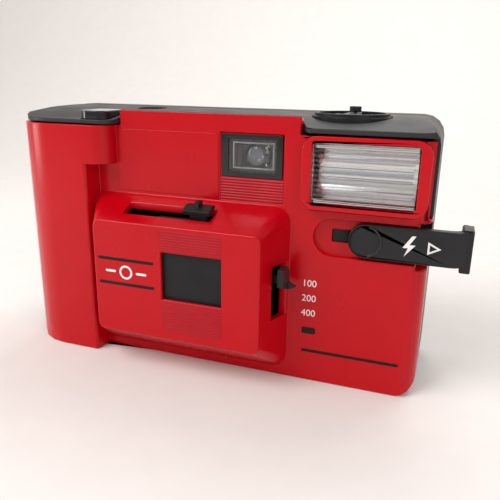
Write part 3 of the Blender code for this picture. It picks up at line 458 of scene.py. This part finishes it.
def printed_marks():
    """The lines, numerals and pictograms, all generic."""
    bar("housing_line_upper", -27.8, -9.6, 34.5, 0.9, HOUSING_FACE, INK_DARK)
    bar("housing_line_lower", -27.8, -9.6, 27.1, 0.9, HOUSING_FACE, INK_DARK)
    bar("front_line", 30.7, 58.3, 9.5, 0.9, FRONT_FACE, INK_DARK)
    for i, words in enumerate(("100", "200", "400")):
        number("film_speed_" + words, words, 30.2, 29.2 - 4.45 * i, 1.95, FRONT_FACE, INK_WHITE)
    film = rounded_rect(30.6, 34.6, 14.8, 16.8, 0.4, 3)
    solid("film_mark", film, -0.05, 0.2, INK_DARK, edge=0)
    mark_x, mark_z = LENS_MARK
    face, seat = HOUSING_FACE, HOUSING_FACE + 0.2
    solid("lens_mark_ring", circle(mark_x, mark_z, 2.1), face - 0.05, seat, INK_WHITE, edge=0)
    solid("lens_mark_core", circle(mark_x, mark_z, 1.5), face - 0.08, seat, RED, edge=0)
    for side in (-1, 1):
        middle = mark_x + side * 5
        bar(f"lens_mark_wing_{side + 2}", middle - 1.7, middle + 1.7, mark_z, 0.7, face, INK_WHITE)
    bolt = [(58.6, 47.0), (56.4, 43.7), (57.8, 43.7), (56.9, 41.4), (59.6, 44.6), (58.1, 44.6),
            (59.6, 47.0)]
    solid("switch_bolt", bolt, -1.25, -1.0, INK_WHITE, "switch", edge=0)
    arrow = [(62.6, 45.9), (62.6, 42.5), (65.9, 44.2)]
    solid("switch_arrow", arrow, -1.25, -1.0, INK_WHITE, "switch", edge=0)
    inner = [(63.1, 45.1), (63.1, 43.3), (64.9, 44.2)]
    solid("switch_arrow_core", inner, -1.28, -1.0, SATIN, "switch", edge=0)


def front_panels():
    """The blank raised name panel and the finely ribbed panels."""
    x0, x1, z0, z1 = NAME_PANEL
    solid("name_panel", rounded_rect(x0, x1, z0, z1, 0.8), -0.22, 0.4, RED, edge=0.15)
    ribbed_panel("ribs_over_window", WINDOW_PANEL_HIGH, HOUSING_FACE, 0.75, 0.11, RED_RIB)
    ribbed_panel("ribs_under_window", WINDOW_PANEL_LOW, HOUSING_FACE, 0.75, 0.11, RED_RIB)
    ribbed_panel("ribs_under_finder", FINDER_PANEL, 0.3, 0.75, 0.18, RED_RIB)


def frame_ring(name, outer, inner, low, high, material, edge=0.12, body="case"):
    """A rectangular ring between two depths, all in mm."""
    form = bmesh.new()
    loops = []
    for bounds in (outer, inner):
        x0, x1, z0, z1 = bounds
        corners = [(x0, z0), (x1, z0), (x1, z1), (x0, z1)]
        loops.append([[form.verts.new(point(x, d, z)) for x, z in corners] for d in (low, high)])
    for i in range(4):
        j = (i + 1) % 4
        form.faces.new((loops[0][0][i], loops[0][0][j], loops[1][0][j], loops[1][0][i]))
        form.faces.new((loops[0][1][i], loops[1][1][i], loops[1][1][j], loops[0][1][j]))
        form.faces.new((loops[0][0][i], loops[0][1][i], loops[0][1][j], loops[0][0][j]))
        form.faces.new((loops[1][0][i], loops[1][0][j], loops[1][1][j], loops[1][1][i]))
    mesh = closed_mesh(form, name)
    return rounded_edges(link(name, mesh, material, body), edge, 40, 2)


def turned(name, profile, x, z, material, body="case", steps=40):
    """A form turned about a line from front to back, its profile in radius and depth."""
    form = bmesh.new()
    rings = []
    for radius, depth in profile:
        ring = []
        for k in range(steps):
            angle = math.tau * k / steps
            across, along = radius * math.cos(angle), radius * math.sin(angle)
            ring.append(form.verts.new(point(x + across, depth, z + along)))
        rings.append(ring)
    for first, second in zip(rings, rings[1:]):
        for k in range(steps):
            j = (k + 1) % steps
            form.faces.new((first[k], first[j], second[j], second[k]))
    form.faces.new(list(reversed(rings[0])))
    form.faces.new(rings[-1])
    mesh = closed_mesh(form, name)
    piece = link(name, mesh, material, body)
    smooth(mesh)
    return piece


def dome(radius, front, rise, back, steps=8):
    """Profile of a lens with a bulging front."""
    profile = []
    for k in range(steps + 1):
        reach = max(k / steps, 0.02)
        profile.append((radius * reach, front + rise * reach * reach))
    profile.append((radius, back))
    return profile


def finder_details():
    """The glossy surround, the bright frame lines and the small objective behind the window."""
    frame_ring("finder_surround", (5.55, 23.25, 58.55, 70.25), (7.6, 21.4, 60.0, 68.9), 0.15, 2.4, GLOSS)
    frame_ring("finder_lines", (8.6, 20.6, 60.8, 68.1), (9.0, 20.2, 61.2, 67.7), 1.4, 1.5, LINES, 0.01)
    pane = solid("finder_pane", rounded_rect(7.65, 21.35, 60.05, 68.85, 0.3, 3), 0.5, 1.2, CLEAR, edge=0)
    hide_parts("viewfinder_window")
    turned("finder_objective", dome(3.9, 1.9, 1.5, 4.2), 15.4, 64.4, LENS)
    # The cell behind the objective, coloured light grey as painted sheen in the finder.
    turned("finder_cell", dome(4.4, 4.6, 0.8, 6.2), 15.4, 64.4, FINDER_PAINTED_SHEEN)
    frame_ring("finder_mask", (7.0, 22.0, 59.4, 69.5), (10.6, 20.2, 60.8, 68.0), 2.7, 3.1, GLOSS, 0.15)


def flash_details():
    """The ribbed front of the flash, which takes the place of the plain one."""
    low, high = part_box("flash_diffuser")
    x0, z0 = low[0] / MM, low[2] / MM
    x1, z1 = high[0] / MM, high[2] / MM
    face = low[1] / MM + MID_DEPTH + 0.35
    lens = ribbed_panel("flash_lens", (x0, x1, z0, z1), face, 1.25, 0.35, DIFFUSER)
    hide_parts("flash_diffuser")


def door_details():
    """A leather-grained panel, an eyepiece surround and grip ridges on the back of the door."""
    panel = rounded_rect(*DOOR_LEATHER, 2.0)
    solid("door_leather", panel, DOOR_FACE - 0.2, DOOR_FACE + 0.22, LEATHER, "door", edge=0.15)
    frame_ring("eyepiece_surround", (7.2, 21.6, 57.4, 71.2), (9.2, 19.6, 59.4, 69.2), DOOR_FACE - 0.2,
               DOOR_FACE + 0.5, GLOSS, 0.25, "door")
    for i in range(4):
        x = 46.2 + i * 1.5
        ridge = rounded_rect(x - 0.35, x + 0.35, 22.0, 39.0, 0.34, 3)
        solid(f"door_ridge_{i + 1}", ridge, DOOR_FACE - 0.2, DOOR_FACE + 0.45, BLACK, "door", edge=0.15)


def thumb_details():
    """The crescent ridge on the switch's thumb pad."""
    crescent = []
    for radius, first, step in ((THUMB_OUTER, -80, 10), (THUMB_INNER, 80, -10)):
        for k in range(17):
            turn = math.radians(first + step * k)
            crescent.append((THUMB[0] + radius * math.cos(turn), THUMB[1] + radius * math.sin(turn)))
    solid("thumb_ridge", crescent, -1.45, -1.0, GLOSS, "switch", edge=0.08)


# Soft lights: name, place and target in metres, size, power in watts, colour.
LIGHTS = [
    ("key", (-0.35, -0.45, 0.65), (0, 0, 0.03), (0.45, 0.45), 4.2, (1, 1, 1)),
    ("fill", (0.55, -0.5, 0.35), (0, 0, 0.04), (0.4, 0.5), 1.6, (1.0, 0.97, 0.95)),
    ("strip", (-0.5, -0.2, 0.12), (-0.04, -0.02, 0.04), (0.12, 0.3), 0.8, (1, 1, 1)),
    ("back", (0.1, 0.35, 0.6), (0, 0, 0.05), (0.5, 0.3), 2.0, (1, 1, 1)),
]


def aimed_light(name, place, target, size, power, colour):
    """A rectangular soft light at a place in metres, aimed at a target."""
    lamp = bpy.data.lights.new(name, "AREA")
    lamp.shape = "RECTANGLE"
    lamp.size, lamp.size_y = size
    lamp.energy = power
    lamp.color = colour
    light = bpy.data.objects.new(name, lamp)
    light.location = place
    light.rotation_euler = (Vector(target) - Vector(place)).to_track_quat("-Z", "Y").to_euler()
    bpy.context.scene.collection.objects.link(light)


def studio():
    """Pale floor with a curved rise behind, soft lights and a pale sky."""
    reach, rise = 0.9, 0.55
    profile = [(-0.7, FLOOR_Z), (0.25, FLOOR_Z)]
    profile += [(0.25 + 0.3 * math.sin(a), FLOOR_Z + 0.3 - 0.3 * math.cos(a)) for a in
                [math.radians(9 * k) for k in range(1, 11)]]
    profile.append((0.55, rise))
    form = bmesh.new()
    sides = [[form.verts.new((x, y, z)) for y, z in profile] for x in (-reach, reach)]
    for i in range(len(profile) - 1):
        form.faces.new((sides[0][i], sides[1][i], sides[1][i + 1], sides[0][i + 1]))
    mesh = bpy.data.meshes.new("studio_floor")
    form.to_mesh(mesh)
    form.free()
    smooth(mesh)
    paper = plastic("floor_paper", (0.78, 0.74, 0.71), (0.76, 0.72, 0.69), 0.6, 0.00001, 500)
    mesh.materials.append(paper)
    floor = bpy.data.objects.new("studio_floor", mesh)
    bpy.context.scene.collection.objects.link(floor)

    world = bpy.data.worlds.new("studio")
    world.use_nodes = True
    world.node_tree.nodes["Background"].inputs["Color"].default_value = (1.0, 0.985, 0.97, 1)
    world.node_tree.nodes["Background"].inputs["Strength"].default_value = 0.52
    bpy.context.scene.world = world
    bpy.context.scene.view_settings.view_transform = "Standard"
    for name, place, target, size, power, colour in LIGHTS:
        aimed_light(name, place, target, size, power, colour)


def camera():
    """The camera at the photograph's angle."""
    right = Vector((0.94058, 0.33925, 0.01502))
    up = Vector((-0.11283, 0.27050, 0.95608))
    forward = Vector((-0.32029, 0.90097, -0.29271))
    lens = bpy.data.cameras.new("main_camera")
    lens.lens = 40.14
    lens.sensor_width = 36.0
    lens.clip_start = 0.01
    view = bpy.data.objects.new("main_camera", lens)
    turn = Matrix((right, up, -forward)).transposed()
    view.matrix_world = Matrix.Translation((0.06553, -0.16064, 0.08448)) @ turn.to_4x4()
    bpy.context.scene.collection.objects.link(view)
    bpy.context.scene.camera = view


dress_nodes()
front_panels()
finder_details()
flash_details()
thumb_details()
door_details()
printed_marks()
studio()
camera()
